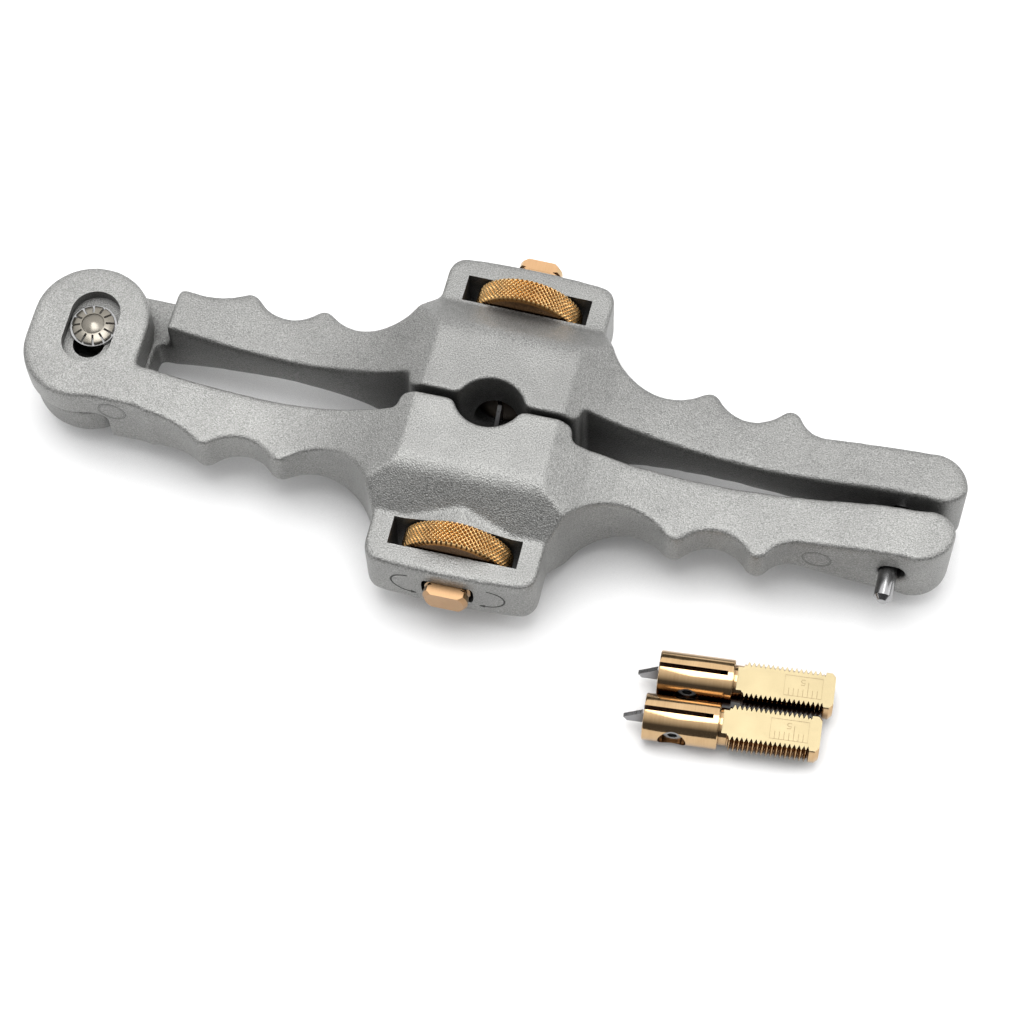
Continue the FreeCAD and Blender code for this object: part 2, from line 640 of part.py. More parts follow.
rear_front = size("groove_depth") + size("rear_setback")
front_front = size("groove_depth") + size("front_setback")
pieces += build_carrier("rear", HALF_PLACEMENT[REAR].multiply(
    FreeCAD.Placement(V(0, rear_front, 0), FreeCAD.Rotation())))
half_turn = FreeCAD.Placement(V(0, -front_front, 0), FreeCAD.Rotation(V(0, 0, 1), 180))
pieces += build_carrier("front", HALF_PLACEMENT[FRONT].multiply(half_turn))

# spare carriers lie on the surface that the halves rest on
spare_z = CARRIER_R - BLOCK_Z
along = FreeCAD.Rotation(V(0, 0, 1), size("spare_angle"))
first = V(size("spare_x"), size("spare_y"), spare_z)
step = along.multVec(V(-size("spare_offset"), -size("spare_pitch"), 0))
flip = along.multiply(FreeCAD.Rotation(V(0, 0, 1), -90))
pieces += build_carrier("spare_one", FreeCAD.Placement(first, flip))
pieces += build_carrier("spare_two", FreeCAD.Placement(first + step, flip))

doc.recompute()

for obj in doc.Objects:
    if "Invalid" in obj.State or "Error" in obj.State:
        raise RuntimeError("feature failed: " + obj.Name)
for piece in pieces:
    shape = piece.Shape
    if shape.isNull() or not shape.isValid() or len(shape.Solids) != 1:
        raise RuntimeError("bad solid: " + piece.Label)

os.makedirs("parts", exist_ok=True)
for piece in pieces:
    piece.Shape.exportStep("parts/%s.step" % piece.Label)
    print(piece.Label, round(piece.Shape.Volume, 1), piece.Shape.BoundBox)
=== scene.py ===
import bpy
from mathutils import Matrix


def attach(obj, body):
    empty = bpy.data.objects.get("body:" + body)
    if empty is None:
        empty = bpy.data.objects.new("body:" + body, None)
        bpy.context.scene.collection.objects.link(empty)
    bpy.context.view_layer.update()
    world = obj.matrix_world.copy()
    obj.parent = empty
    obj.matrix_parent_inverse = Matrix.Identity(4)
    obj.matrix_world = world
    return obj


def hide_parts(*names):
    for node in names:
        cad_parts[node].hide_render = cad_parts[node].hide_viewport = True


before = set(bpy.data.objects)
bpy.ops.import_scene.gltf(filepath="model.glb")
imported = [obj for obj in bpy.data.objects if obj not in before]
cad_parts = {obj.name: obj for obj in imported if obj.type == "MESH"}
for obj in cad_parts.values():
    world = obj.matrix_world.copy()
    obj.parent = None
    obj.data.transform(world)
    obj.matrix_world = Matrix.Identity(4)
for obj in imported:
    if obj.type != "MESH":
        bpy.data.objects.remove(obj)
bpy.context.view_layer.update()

import math

import bmesh
import bpy
import numpy as np
from mathutils import Matrix, Vector

MM = 0.001

# sizes shared with the part, in millimetres
TURN = math.radians(1.2)
REAR_AT = Matrix.Translation((0.7 * MM, 1.4 * MM, 0)) @ Matrix.Rotation(-TURN, 4, "Z")
PIVOT = Vector((-90.159, 4.303, 0)) * MM
WINDOW_IN, WINDOW_OUT, WINDOW_X = 26.5, 32.9, 14.0
HOUSING_Z, BLOCK_Z, LUG_Z = 7.5, 15.0, 8.7
CARRIER_R, FIT, FLAT = 5.0, 0.05, 3.0
FACE = 37.4
LENGTH, HEAD, NECK, NECK_R = 37.2, 16.0, 1.9, 4.0
SLIT, SLIT_W = 14.6, 1.0
SCREW_AT, SCREW_R, RECESS_R, RECESS_D = 6.5, 2.0, 3.0, 1.5
WHEEL_R, WHEEL_W, WHEEL_AT = 12.0, 5.9, 26.75
HEAD_FRONT = {1: 5.7, -1: 3.4}
GABLE_X, GABLE_RISE = 11.5, 2.65
GUIDE_X, GUIDE_Y = 89.5, -8.0
GUIDE_HOLE_R, GUIDE_HOLE_OFFSET = 2.75, 0.6
PIN_R, STAR_TEETH = 2.5, 12
LUG_SLOT_Y, LUG_SLOT_R, LUG_SLOT_HALF = 3.2, 3.5, 3.0
RECESS_IN, LUG_RECESS_R, LUG_RECESS_HALF = 2.6, 5.5, 3.4
SPARE_AT, SPARE_STEP, SPARE_TURN = (46.8, -42.0, -10.0), (-1.8, -10.15, 0), 4.4
KNURL_LINES, KNURL_DEPTH = 68, 0.50
GROWN = 0.8
PLAIN_END = 1.4
# turns a prism along Z into one along X, its polygon then being (y, z)
SIDEWAYS = Matrix(((0, 0, 1, 0), (1, 0, 0, 0), (0, 1, 0, 0), (0, 0, 0, 1)))


# shader helpers

def new_material(name):
    m = bpy.data.materials.new(name)
    m.use_nodes = True
    m.node_tree.nodes.clear()
    return m


class Tree:
    """Short names for the nodes of one material."""

    def __init__(self, name):
        self.material = new_material(name)
        self.t = self.material.node_tree
        out = self.t.nodes.new("ShaderNodeOutputMaterial")
        self.shader = self.t.nodes.new("ShaderNodeBsdfPrincipled")
        self.t.links.new(self.shader.outputs[0], out.inputs[0])
        self.place = self.t.nodes.new("ShaderNodeTexCoord").outputs["Object"]

    def put(self, socket, value):
        if isinstance(value, bpy.types.NodeSocket):
            self.t.links.new(value, socket)
        else:
            socket.default_value = value

    def noise(self, scale, detail=3.0, rough=0.5, at=None):
        n = self.t.nodes.new("ShaderNodeTexNoise")
        self.put(n.inputs["Vector"], at or self.place)
        n.inputs["Scale"].default_value = scale
        n.inputs["Detail"].default_value = detail
        n.inputs["Roughness"].default_value = rough
        return n.outputs[0]

    def cells(self, scale):
        n = self.t.nodes.new("ShaderNodeTexVoronoi")
        self.put(n.inputs["Vector"], self.place)
        n.inputs["Scale"].default_value = scale
        return n.outputs["Distance"]

    def ramp(self, value, *stops):
        n = self.t.nodes.new("ShaderNodeValToRGB")
        while len(n.color_ramp.elements) < len(stops):
            n.color_ramp.elements.new(0.5)
        for e, (at, c) in zip(n.color_ramp.elements, stops):
            e.position = at
            e.color = (*c, 1)
        self.put(n.inputs[0], value)
        return n.outputs[0]

    def span(self, value, a, b, c, d):
        n = self.t.nodes.new("ShaderNodeMapRange")
        self.put(n.inputs["Value"], value)
        for key, v in zip(("From Min", "From Max", "To Min", "To Max"), (a, b, c, d)):
            n.inputs[key].default_value = v
        return n.outputs[0]

    def stretch(self, x, y, z):
        n = self.t.nodes.new("ShaderNodeMapping")
        self.put(n.inputs["Vector"], self.place)
        n.inputs["Scale"].default_value = (x, y, z)
        return n.outputs[0]

    def mix(self, a, b, factor, blend="MIX"):
        n = self.t.nodes.new("ShaderNodeMix")
        n.data_type = "RGBA"
        n.blend_type = blend
        self.put(n.inputs["Factor"], factor)
        self.put(n.inputs[6], a)
        self.put(n.inputs[7], b)
        return n.outputs[2]

    def bump(self, height, strength, distance, before=None):
        n = self.t.nodes.new("ShaderNodeBump")
        n.inputs["Strength"].default_value = strength
        n.inputs["Distance"].default_value = distance
        self.put(n.inputs["Height"], height)
        if before is not None:
            self.put(n.inputs["Normal"], before)
        return n.outputs[0]

    def painted_gap_shade(self, shade_reach, dark, full=0.6, start=0.12):
        """Painted shade factor: dark in gaps and pockets, one on open surfaces."""
        n = self.t.nodes.new("ShaderNodeAmbientOcclusion")
        n.samples = 6
        n.inputs["Distance"].default_value = shade_reach
        return self.ramp(n.outputs["AO"], (start, dark), (full, (1, 1, 1)))

    def set(self, **values):
        for key, v in values.items():
            self.put(self.shader.inputs[key.replace("_", " ")], v)


def casting_material(name, painted_shade_gain):
    t = Tree(name)
    fine = t.noise(3600, 3, 0.6)
    broad = t.noise(90, 5, 0.6)
    grains = t.cells(2700)
    low, high = (tuple(c * painted_shade_gain for c in tint) for tint in ((0.235, 0.235, 0.228), (0.285, 0.285, 0.276)))
    tone = t.ramp(broad, (0.3, low), (0.7, high))
    specks = t.ramp(fine, (0.32, (0.52, 0.52, 0.52)), (0.5, (0.95, 0.95, 0.95)), (0.68, (1.46, 1.46, 1.46)))
    grain = t.mix(tone, specks, 1.0, "MULTIPLY")
    # painted shade: the colour darkens to 0.22 in gaps, pockets and openings
    t.set(Base_Color=t.mix(grain, t.painted_gap_shade(0.014, (0.22, 0.22, 0.22)), 1.0, "MULTIPLY"), Metallic=0.8,
          Roughness=t.span(fine, 0.3, 0.7, 0.36, 0.56),
          Normal=t.bump(grains, 0.7, 0.00010, t.bump(fine, 0.7, 0.00011)))
    return t.material


def metal(name, low, high, rough, metallic=1.0, scale=(300, 300, 300), bump=0.1, depth=0.00003, shade_reach=0,
          rim=None):
    """Metal with fine directional marks, with painted shade in its gaps and, with a rim, painted shade in the pits of
    its knurl and a painted highlight on its crests.
    """
    t = Tree(name)
    marks = t.noise(1.0, 4, 0.6, t.stretch(*scale))
    patches = t.noise(220, 3, 0.5)
    tone = t.mix(t.ramp(patches, (0.3, low), (0.7, high)), t.ramp(marks, (0.3, low), (0.7, high)), 0.5)
    # painted shade: the colour darkens in the metal's gaps, slits and pockets
    if shade_reach:
        tone = t.mix(tone, t.painted_gap_shade(shade_reach, (0.16, 0.09, 0.05), 0.85, 0.3), 1.0, "MULTIPLY")
    # painted shade in the knurl's pits and a painted highlight on its crests, by distance from the object's Y axis
    if rim:
        n = t.t.nodes.new("ShaderNodeVectorMath")
        n.operation = "LENGTH"
        t.put(n.inputs[0], t.stretch(1, 0, 1))
        pits = t.ramp(t.span(n.outputs["Value"], rim[0], rim[1], 0, 1), (0.0, (0.30, 0.22, 0.16)),
                      (0.55, (0.75, 0.70, 0.62)), (1.0, (1.35, 1.35, 1.35)))
        tone = t.mix(tone, pits, 1.0, "MULTIPLY")
    t.set(Base_Color=tone, Metallic=metallic, Roughness=t.span(marks, 0.25, 0.75, rough[0], rough[1]),
          Normal=t.bump(marks, bump, depth))
    return t.material


# painted shade: the rear casting is the front one at 0.86 of its colour, for the rear half lying darker in the light
CASTING = {-1: casting_material("casting_front", 1.0), 1: casting_material("casting_rear_shaded", 0.86)}
# knurled brass with painted shade in the pits and a painted highlight on the crests
KNURL = metal("knurled_brass", (0.56, 0.365, 0.165), (0.68, 0.470, 0.230), (0.18, 0.30), bump=0.12,
              rim=(0.01148, 0.0120))
# turned brass with painted shade in its gaps and in the bore
HEAD_BRASS = metal("turned_brass", (0.42, 0.275, 0.140), (0.54, 0.375, 0.21), (0.07, 0.16), scale=(160, 5200, 160),
                   bump=0.12, depth=0.00002, shade_reach=0.004)
FLAT_BRASS = metal("milled_brass", (0.285, 0.235, 0.138), (0.33, 0.275, 0.165), (0.34, 0.46), scale=(4200, 260, 260),
                   bump=0.12, depth=0.00002)
STEEL = metal("bright_steel", (0.26, 0.26, 0.26), (0.36, 0.36, 0.365), (0.14, 0.28), bump=0.08)
# blade steel with painted shade where it sits in the slit
BLADE = metal("blade_steel", (0.22, 0.22, 0.225), (0.33, 0.33, 0.34), (0.22, 0.40), scale=(300, 900, 5200), bump=0.12,
              shade_reach=0.003)
MARK = metal("engraved_mark", (0.012, 0.012, 0.011), (0.03, 0.03, 0.028), (0.6, 0.8), metallic=0.0)
WITNESS = metal("witness_line", (0.10, 0.10, 0.10), (0.16, 0.16, 0.155), (0.5, 0.7), metallic=0.3)
SHANK_BRASS = metal("handled_brass", (0.34, 0.205, 0.105), (0.42, 0.265, 0.145), (0.34, 0.46), scale=(4200, 260, 260))
# painted shade: near-black brass for the head faces of the mounted carriers, which sit deep in the bore
BORE_SHADE_BRASS = metal("bore_shade_brass", (0.035, 0.024, 0.014), (0.07, 0.048, 0.028), (0.3, 0.5))
PIN_STEEL = metal("pin_steel", (0.17, 0.155, 0.13), (0.25, 0.235, 0.205), (0.2, 0.34), bump=0.1)
SCALE_MARK = metal("scale_mark", (0.16, 0.11, 0.055), (0.22, 0.155, 0.08), (0.4, 0.6), metallic=0.6)


# mesh helpers

def link(obj):
    bpy.context.scene.collection.objects.link(obj)
    return obj


def mesh_object(name, verts, faces, material=None):
    me = bpy.data.meshes.new(name)
    me.from_pydata([tuple(v) for v in verts], [], faces)
    me.update()
    ob = link(bpy.data.objects.new(name, me))
    if material is not None:
        me.materials.append(material)
    return ob


def from_bmesh(name, bm, material=None, matrix=None):
    if matrix is not None:
        bmesh.ops.transform(bm, matrix=matrix, verts=bm.verts)
    bmesh.ops.recalc_face_normals(bm, faces=bm.faces)
    me = bpy.data.meshes.new(name)
    bm.to_mesh(me)
    bm.free()
    ob = link(bpy.data.objects.new(name, me))
    if material is not None:
        me.materials.append(material)
    return ob


def prism(name, points, low, high, axis="Z", matrix=None):
    """Closed prism over a polygon in millimetres. Axis Z: points are (x, y); axis Y: points are (x, z)."""
    bm = bmesh.new()

    def at(p, h):
        return (p[0] * MM, p[1] * MM, h * MM) if axis == "Z" else (p[0] * MM, h * MM, p[1] * MM)
    lower = [bm.verts.new(at(p, low)) for p in points]
    upper = [bm.verts.new(at(p, high)) for p in points]
    bm.faces.new(lower)
    bm.faces.new(upper)
    for i in range(len(points)):
        bm.faces.new((lower[i - 1], lower[i], upper[i], upper[i - 1]))
    return from_bmesh(name, bm, None, matrix)


def ring_points(cx, cy, r, steps=64, stretch=0.0):
    """Circle, or a slot with half-round ends along the second direction."""
    pts = []
    for i in range(steps):
        a = 2 * math.pi * i / steps
        up = stretch if math.sin(a) >= 0 else -stretch
        pts.append((cx + r * math.cos(a), cy + r * math.sin(a) + up))
    return pts


def box_points(x0, y0, x1, y1):
    return [(x0, y0), (x1, y0), (x1, y1), (x0, y1)]


def evaluated_mesh(ob):
    dg = bpy.context.evaluated_depsgraph_get()
    return bpy.data.meshes.new_from_object(ob.evaluated_get(dg))


def cut(ob, cutter):
    """Takes the cutter away from the object and removes it."""
    m = ob.modifiers.new("cut", "BOOLEAN")
    m.operation = "DIFFERENCE"
    m.solver = "MANIFOLD"
    m.object = cutter
    me = evaluated_mesh(ob)
    ob.modifiers.clear()
    old = ob.data
    ob.data = me
    bpy.data.meshes.remove(old)
    bpy.data.objects.remove(cutter)
    return ob


def shade(ob, angle=32):
    me = ob.data
    for p in me.polygons:
        p.use_smooth = True
    me.set_sharp_from_angle(angle=math.radians(angle))


def half_matrix(s):
    """From a half's own coordinates (x, outward from its parting face, z) to the frame."""
    return REAR_AT if s > 0 else Matrix.Scale(-1, 4, (0, 1, 0))


# the two castings: the part's own shape with its cast edges rounded and its machined edges crisp

def shank_outline(grow=0.0):
    z = FLAT + FIT + grow
    r = CARRIER_R + 0.1 + grow
    pts = [(-r, -z), (r, -z)]
    pts += [(r + 0.6 * math.cos(a), z * math.sin(a)) for a in (-0.9, -0.45, 0, 0.45, 0.9)]
    pts += [(r, z), (-r, z)]
    pts += [(-r - 0.6 * math.cos(a), z * math.sin(a)) for a in (0.9, 0.45, 0, -0.45, -0.9)]
    return pts


def fill_and_cut(s, grow):
    """Solids of the machined openings of a half. Grown ones stay inside the metal and fill the openings."""
    m = half_matrix(s)
    out = []
    fill = grow > 0
    # window
    top = HOUSING_Z - 0.02 if fill else BLOCK_Z + 5
    out.append(prism("window", box_points(-WINDOW_X - grow, WINDOW_IN - grow, WINDOW_X + grow, WINDOW_OUT + grow),
                     -top, top, "Z", m))
    if fill and s < 0:
        # the gable runs on into the window, so that the window's cut leaves its end crisp
        for k in (1, -1):
            roof = [(-GABLE_X, 6.5 * k), (GABLE_X, 6.5 * k), (GABLE_X, HOUSING_Z * k),
                    (0, (HOUSING_Z + GABLE_RISE) * k), (-GABLE_X, HOUSING_Z * k)]
            out.append(prism("gable", roof, WINDOW_IN - 2.5, WINDOW_IN + 1.6, "Y", m))
    # carrier bore and shank slot
    start = 5.4 if fill else 1.0
    out.append(prism("bore", ring_points(0, 0, CARRIER_R + FIT + grow, 72), start, WINDOW_IN + 0.5, "Y", m))
    end = FACE + 0.3 if fill else FACE + 4
    out.append(prism("shank", shank_outline(grow), WINDOW_OUT - 0.5, end, "Y", m))
    return out


def lug_cutters(s, grow):
    """Slot and washer recess of the front lug."""
    fill = grow > 0
    if s > 0:
        return []
    x, y = PIVOT.x / MM, LUG_SLOT_Y
    low = 0.3 if fill else -12
    high = LUG_Z - RECESS_IN + 0.3 if fill else LUG_Z + 4
    top = LUG_Z - 0.02 if fill else LUG_Z + 4
    return [prism("lug_slot", ring_points(x, y, LUG_SLOT_R + grow, 48, LUG_SLOT_HALF), low, high),
            prism("recess", ring_points(x, y, LUG_RECESS_R + grow, 64, LUG_RECESS_HALF), LUG_Z - RECESS_IN, top)]


def build_casting(node, body, s):
    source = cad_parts[node]
    ob = link(bpy.data.objects.new(node + "_cast", source.data.copy()))
    bm = bmesh.new()
    bm.from_mesh(ob.data)
    bmesh.ops.remove_doubles(bm, verts=bm.verts, dist=1e-6)
    bm.to_mesh(ob.data)
    bm.free()
    if s > 0:
        # the rear slope runs down to the window without a gable
        for k in (1, -1):
            above = [(18.8, 13.25 * k), (25.9, 7.52 * k), (30, 7.52 * k), (30, 18 * k), (18.8, 18 * k)]
            roof = prism("above_slope", above, -12, 12)
            roof.data.transform(half_matrix(s) @ SIDEWAYS)
            cut(ob, roof)
    # fill the machined openings, then rebuild the skin as even cells
    fills = fill_and_cut(s, GROWN) + lug_cutters(s, GROWN)
    bpy.ops.object.select_all(action="DESELECT")
    for f in fills:
        f.select_set(True)
    ob.select_set(True)
    bpy.context.view_layer.objects.active = ob
    bpy.ops.object.join()
    r = ob.modifiers.new("skin", "REMESH")
    r.mode = "VOXEL"
    r.voxel_size = 0.35 * MM
    r.adaptivity = 0
    me = evaluated_mesh(ob)
    ob.modifiers.clear()
    ob.data = me
    round_edges(ob, s)
    for c in fill_and_cut(s, 0) + lug_cutters(s, 0) + guide_cutters(s):
        cut(ob, c)
    shade(ob)
    ob.data.materials.clear()
    ob.data.materials.append(CASTING[s])
    ob.name = node + "_cast"
    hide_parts(node)
    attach(ob, body)
    return ob


def guide_cutters(s):
    """Clearance hole in the front half for the rear half's guide pin."""
    if s > 0:
        return []
    pin_x = (REAR_AT @ Vector((GUIDE_X * MM, GUIDE_Y * MM, 0))).x / MM
    return [prism("guide", ring_points(pin_x + GUIDE_HOLE_OFFSET, 0, GUIDE_HOLE_R, 48), -30, 2, "Y")]


def round_edges(ob, s):
    """Smooths the skin: least on the block, more on the handles and the housing's outer end."""
    me = ob.data
    n = len(me.vertices)
    co = np.empty(n * 3, np.float64)
    me.vertices.foreach_get("co", co)
    co = co.reshape(-1, 3)
    e = np.empty(len(me.edges) * 2, np.int64)
    me.edges.foreach_get("vertices", e)
    a, b = e[0::2], e[1::2]
    degree = np.bincount(a, minlength=n) + np.bincount(b, minlength=n)
    degree = np.maximum(degree, 1)[:, None]
    inverse = np.array(half_matrix(s).inverted())
    local = (co @ inverse[:3, :3].T + inverse[:3, 3]) / MM
    x, v = local[:, 0], local[:, 1]
    housing = np.clip((v - 33.0) / 2.0, 0, 1) * (np.abs(x) < 20)
    handles = np.clip((np.abs(x) - 27.0) / 6.0, 0, 1)
    block = np.clip((23.0 - np.abs(x)) / 3.0, 0, 1) * np.clip((24.0 - v) / 3.0, 0, 1)
    crisp = 6
    rounds = 13
    extra = 20
    for i in range(rounds + extra):
        if i < crisp:
            weight = np.ones(n)
        elif i < rounds:
            weight = 1 - block
        else:
            weight = np.maximum(housing, handles)
        mean = np.stack([np.bincount(a, co[b, k], n) + np.bincount(b, co[a, k], n) for k in range(3)], 1) / degree
        co += 0.5 * weight[:, None] * (mean - co)
    me.vertices.foreach_set("co", co.ravel())
    me.update()


CASTINGS = {
    1: build_casting("rear_body", "rear_half", 1),
    -1: build_casting("front_body", "front_half", -1),
}


# blade carriers: head with slit and counterbore, true right-hand thread, two milled flats

def carrier_mesh():
    turns = int(LENGTH - PLAIN_END - HEAD - NECK)
    per = 14
    around = 96
    start = HEAD + NECK
    crest, root = CARRIER_R, CARRIER_R - 0.75
    rows = [(0.0, 0.0), (4.55, 0.0), (4.88, 0.12), (5.0, 0.4), (5.0, HEAD - 0.3), (4.88, HEAD - 0.08), (4.7, HEAD),
            (NECK_R, HEAD), (NECK_R, start - 0.15)]
    bm = bmesh.new()
    rings = []

    def ring(fn):
        return [bm.verts.new(fn(2 * math.pi * k / around)) for k in range(around)]
    tip = bm.verts.new((0, 0, 0))
    for r, y in rows[1:]:
        rings.append(ring(lambda t, r=r, y=y: (r * math.cos(t) * MM, y * MM, r * math.sin(t) * MM)))
    steps = turns * per
    end = start + turns
    for i in range(steps + 1):
        y = start + i / per

        def point(t, y=y):
            phase = (y - start - t / (2 * math.pi)) % 1.0
            tri = 1 - abs(2 * phase - 1)
            tri = min(1.0, max(0.0, (tri - 0.06) / 0.84))
            fade = min(1.0, (y - start) / 0.5, (end - y) / 0.5)
            r = root + (crest - root) * tri * max(0.0, fade)
            return (r * math.cos(t) * MM, y * MM, r * math.sin(t) * MM)
        rings.append(ring(point))
    for r, y in ((crest - 0.05, end + 0.25), (crest - 0.05, LENGTH - 0.85), (crest - 0.12, LENGTH - 0.72),
                 (crest - 0.8, LENGTH)):
        rings.append(ring(lambda t, r=r, y=y: (r * math.cos(t) * MM, y * MM, r * math.sin(t) * MM)))
    for p, q in zip(rings, rings[1:]):
        for k in range(around):
            bm.faces.new((p[k - 1], p[k], q[k], q[k - 1]))
    for k in range(around):
        bm.faces.new((tip, rings[0][k], rings[0][k - 1]))
    bm.faces.new(rings[-1])
    ob = from_bmesh("carrier_shape", bm, HEAD_BRASS)
    for sign in (1, -1):
        z = (FLAT, 9) if sign > 0 else (-9, -FLAT)
        cut(ob, prism("flat", box_points(-8, HEAD + 0.6, 8, LENGTH + 1), z[0], z[1]))
    cut(ob, prism("slit", box_points(-SLIT_W / 2, -1, SLIT_W / 2, SLIT), -8, 8))
    for r, low, high in ((SCREW_R, -1.0, 7), (RECESS_R, CARRIER_R - RECESS_D, 7)):
        c = prism("hole", ring_points(SCREW_AT, 0, r, 48), low, high)
        c.data.transform(SIDEWAYS)
        cut(ob, c)
    shade(ob, 28)
    me = ob.data
    me.materials.clear()
    me.materials.append(HEAD_BRASS)
    me.materials.append(FLAT_BRASS)
    me.materials.append(HEAD_BRASS)
    me.materials.append(HEAD_BRASS)
    for p in me.polygons:
        if p.center.y > (LENGTH - 1.0) * MM:
            p.material_index = 2
        if p.center.y < 0.2 * MM:
            p.material_index = 3
        if p.center.y > (HEAD + NECK) * MM and abs(abs(p.center.z) - FLAT * MM) < 1e-6:
            p.material_index = 1
    bpy.data.objects.remove(ob)
    return me


def strip(points, width, closed=False):
    """Flat ribbon along a line in the plane, as vertices and faces."""
    pts = [Vector((p[0], p[1])) for p in points]
    n = len(pts)
    verts, faces = [], []
    for i, p in enumerate(pts):
        q0 = pts[i - 1] if (i > 0 or closed) else p
        q1 = pts[(i + 1) % n] if (i < n - 1 or closed) else p
        d = (q1 - q0).normalized()
        side = Vector((-d.y, d.x)) * width / 2
        verts += [p + side, p - side]
    last = n if closed else n - 1
    for i in range(last):
        j = (i + 1) % n
        faces.append((2 * i, 2 * i + 1, 2 * j + 1, 2 * j))
    return verts, faces


def marks_mesh():
    """Depth scale on a flat: frame, seven marks, a longer fifth one and its numeral."""
    verts, faces = [], []

    def draw(points, width=0.10, closed=False):
        v, f = strip(points, width, closed)
        base = len(verts)
        verts.extend((p.x * MM, p.y * MM, (FLAT + 0.012) * MM) for p in v)
        faces.extend(tuple(base + i for i in g) for g in f)
    y1 = LENGTH - 2.6
    y0 = y1 - 8.0
    x0, x1 = -2.3, 2.3
    draw([(x0, y0), (x1, y0), (x1, y1), (x0, y1)], 0.10, True)
    for i in range(1, 8):
        y = y0 + i
        draw([(x1, y), ((-1.1 if i == 5 else 0.55), y)], 0.10)
    five = [(0.55, 0.7), (-0.35, 0.7), (-0.45, 0.05), (0.0, 0.15), (0.4, 0.0), (0.52, -0.32), (0.36, -0.66),
            (-0.05, -0.8), (-0.5, -0.62)]
    draw([(-0.95 + b * 0.85, y0 + 3.9 - a * 0.85) for a, b in five], 0.11)
    me = bpy.data.meshes.new("scale_marks")
    me.from_pydata(verts, [], faces)
    me.update()
    me.materials.append(SCALE_MARK)
    return me


CARRIER = carrier_mesh()
HANDLED = CARRIER.copy()
HANDLED.materials[1] = HANDLED.materials[2] = SHANK_BRASS
# the mounted carriers' head faces take the brass with painted shade
HANDLED.materials[3] = BORE_SHADE_BRASS
MARKS = marks_mesh()


def carrier_places():
    """Place and body of the four carriers, from their own axes: head at the origin, shank along Y."""
    along = Matrix.Rotation(math.radians(SPARE_TURN), 4, "Z")
    first = Matrix.Translation([v * MM for v in SPARE_AT])
    step = Matrix.Translation(along @ Vector([v * MM for v in SPARE_STEP]))
    flip = along @ Matrix.Rotation(math.radians(-90), 4, "Z")
    return {
        "rear": (REAR_AT @ Matrix.Translation((0, HEAD_FRONT[1] * MM, 0)), "rear_carrier"),
        "front": (Matrix.Translation((0, -HEAD_FRONT[-1] * MM, 0)) @ Matrix.Rotation(math.pi, 4, "Z"),
                  "front_carrier"),
        "spare_one": (first @ flip, "front_half"),
        "spare_two": (step @ first @ flip, "front_half"),
    }


for prefix, (place, body) in carrier_places().items():
    shape = CARRIER if prefix.startswith("spare") else HANDLED
    ob = link(bpy.data.objects.new(prefix + "_carrier_detail", shape))
    ob.matrix_world = place
    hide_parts(prefix + "_blade_carrier")
    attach(ob, body)
    marks = link(bpy.data.objects.new(prefix + "_scale", MARKS))
    marks.matrix_world = place
    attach(marks, body)


# thumbwheels with diamond knurl

def wheel_mesh():
    lines = KNURL_LINES
    around = lines * 10
    rows = 56
    inner, width = CARRIER_R + 0.1, WHEEL_W
    pitch = 2 * math.pi * WHEEL_R / lines
    bm = bmesh.new()
    rings = []

    def ring(fn):
        rings.append([bm.verts.new(fn(2 * math.pi * k / around)) for k in range(around)])

    def plain(r, y):
        ring(lambda t: (r * math.cos(t) * MM, y * MM, r * math.sin(t) * MM))
    plain(inner, 0)
    plain(WHEEL_R - 1.0, 0)
    plain(WHEEL_R - 0.75, 0.12)
    for i in range(rows + 1):
        y = 0.45 + (width - 0.9) * i / rows

        def point(t, y=y):
            u = t * lines / (2 * math.pi)
            w = y / pitch
            a = abs(((u + w) % 1.0) * 2 - 1)
            b = abs(((u - w) % 1.0) * 2 - 1)
            r = WHEEL_R - KNURL_DEPTH * min(1.0, 1.25 * min(a, b))
            return (r * math.cos(t) * MM, y * MM, r * math.sin(t) * MM)
        ring(point)
    plain(WHEEL_R - 0.75, width - 0.12)
    plain(WHEEL_R - 1.0, width)
    plain(inner, width)
    for p, q in zip(rings, rings[1:] + rings[:1]):
        for k in range(around):
            bm.faces.new((p[k - 1], p[k], q[k], q[k - 1]))
    ob = from_bmesh("wheel_shape", bm, KNURL)
    shade(ob, 24)
    me = ob.data
    bpy.data.objects.remove(ob)
    return me


WHEEL = wheel_mesh()
for node, body, place in (
        ("rear_thumbwheel", "rear_wheel", REAR_AT @ Matrix.Translation((0, WHEEL_AT * MM, 0))),
        ("front_thumbwheel", "front_wheel",
         Matrix.Translation((0, -WHEEL_AT * MM, 0)) @ Matrix.Rotation(math.pi, 4, "Z"))):
    ob = link(bpy.data.objects.new(node + "_knurled", WHEEL))
    ob.matrix_world = place
    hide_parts(node)
    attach(ob, body)


# the part's own meshes that are shown as they are

def finish_node(node, material):
    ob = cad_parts[node]
    ob.data.materials.clear()
    ob.data.materials.append(material)
    for p in ob.data.polygons:
        p.use_smooth = True
    ob.data.set_sharp_from_angle(angle=math.radians(30))


for prefix in ("rear", "front", "spare_one", "spare_two"):
    finish_node(prefix + "_blade", BLADE)
    finish_node(prefix + "_set_screw", STEEL)
for node in ("slot_washer", "guide_pin"):
    finish_node(node, STEEL)


